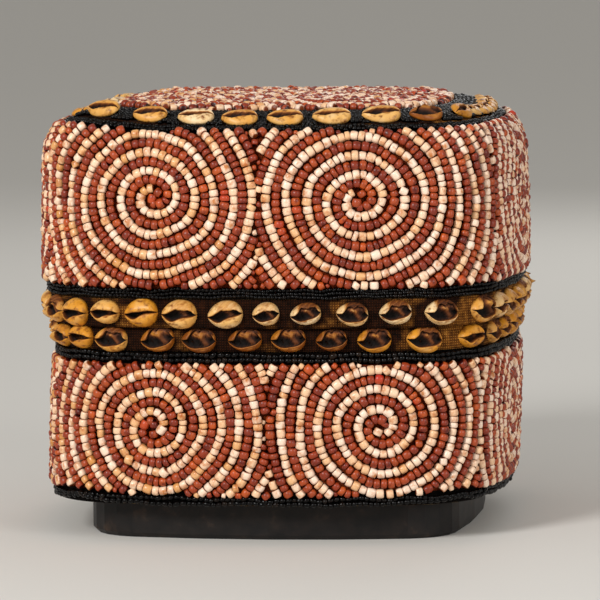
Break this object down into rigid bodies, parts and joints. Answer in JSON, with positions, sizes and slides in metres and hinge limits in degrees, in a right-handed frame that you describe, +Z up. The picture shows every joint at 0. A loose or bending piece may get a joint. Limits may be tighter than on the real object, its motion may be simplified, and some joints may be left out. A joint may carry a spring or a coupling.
{
  "type": "beaded lidded box",
  "caption": "Square lidded box with bowed sides, sewn with spirals of glass beads and rows of cowrie shells. The lid lifts straight off a raised inner wall.",
  "frame": {"origin": "on the ground, under the middle of the box", "axes": "+Z up, the front looks towards -Y, +X to the right"},
  "size_m": [0.2154, 0.2154, 0.188],
  "materials": {
    "cane": "bare plaited cane",
    "painted_wood": "black paint",
    "band_cloth": "coarse weave",
    "red_beads": "opaque glass beads, satin",
    "pale_beads": "opaque glass beads, satin",
    "black_beads": "opaque glass beads, glossy",
    "shell": "worn cowrie shell"
  },
  "bodies": {
    "base": {"base_core": "cane", "foot_frame": "painted_wood", "base_band": "band_cloth", "base_bottom_string": "black_beads", "base_shoulder_string": "black_beads", "base_front_beadwork": "red_beads", "base_front_left_coil": "pale_beads", "base_front_right_coil": "pale_beads", "base_front_cowries": "shell", "base_right_beadwork": "red_beads", "base_right_left_coil": "pale_beads", "base_right_right_coil": "pale_beads", "base_right_cowries": "shell", "base_back_beadwork": "red_beads", "base_back_left_coil": "pale_beads", "base_back_right_coil": "pale_beads", "base_back_cowries": "shell", "base_left_beadwork": "red_beads", "base_left_left_coil": "pale_beads", "base_left_right_coil": "pale_beads", "base_left_cowries": "shell"},
    "lid": {"lid_core": "cane", "lid_band": "band_cloth", "lid_rim_string": "black_beads", "lid_top_outer_string": "black_beads", "lid_top_inner_string": "black_beads", "lid_top_band": "band_cloth", "lid_top_beadwork": "red_beads", "lid_front_beadwork": "red_beads", "lid_front_left_coil": "pale_beads", "lid_front_right_coil": "pale_beads", "lid_front_cowries": "shell", "lid_top_front_cowries": "shell", "lid_right_beadwork": "red_beads", "lid_right_left_coil": "pale_beads", "lid_right_right_coil": "pale_beads", "lid_right_cowries": "shell", "lid_top_right_cowries": "shell", "lid_back_beadwork": "red_beads", "lid_back_left_coil": "pale_beads", "lid_back_right_coil": "pale_beads", "lid_back_cowries": "shell", "lid_top_back_cowries": "shell", "lid_left_beadwork": "red_beads", "lid_left_left_coil": "pale_beads", "lid_left_right_coil": "pale_beads", "lid_left_cowries": "shell", "lid_top_left_cowries": "shell", "lid_top_front_left_coil": "pale_beads", "lid_top_front_right_coil": "pale_beads", "lid_top_back_left_coil": "pale_beads", "lid_top_back_right_coil": "pale_beads"}
  },
  "joints": [
    {"name": "lid_lift", "type": "slide", "parent": "base", "child": "lid", "axis": [0, 0, 1], "range_m": [0, 0.2]}
  ]
}
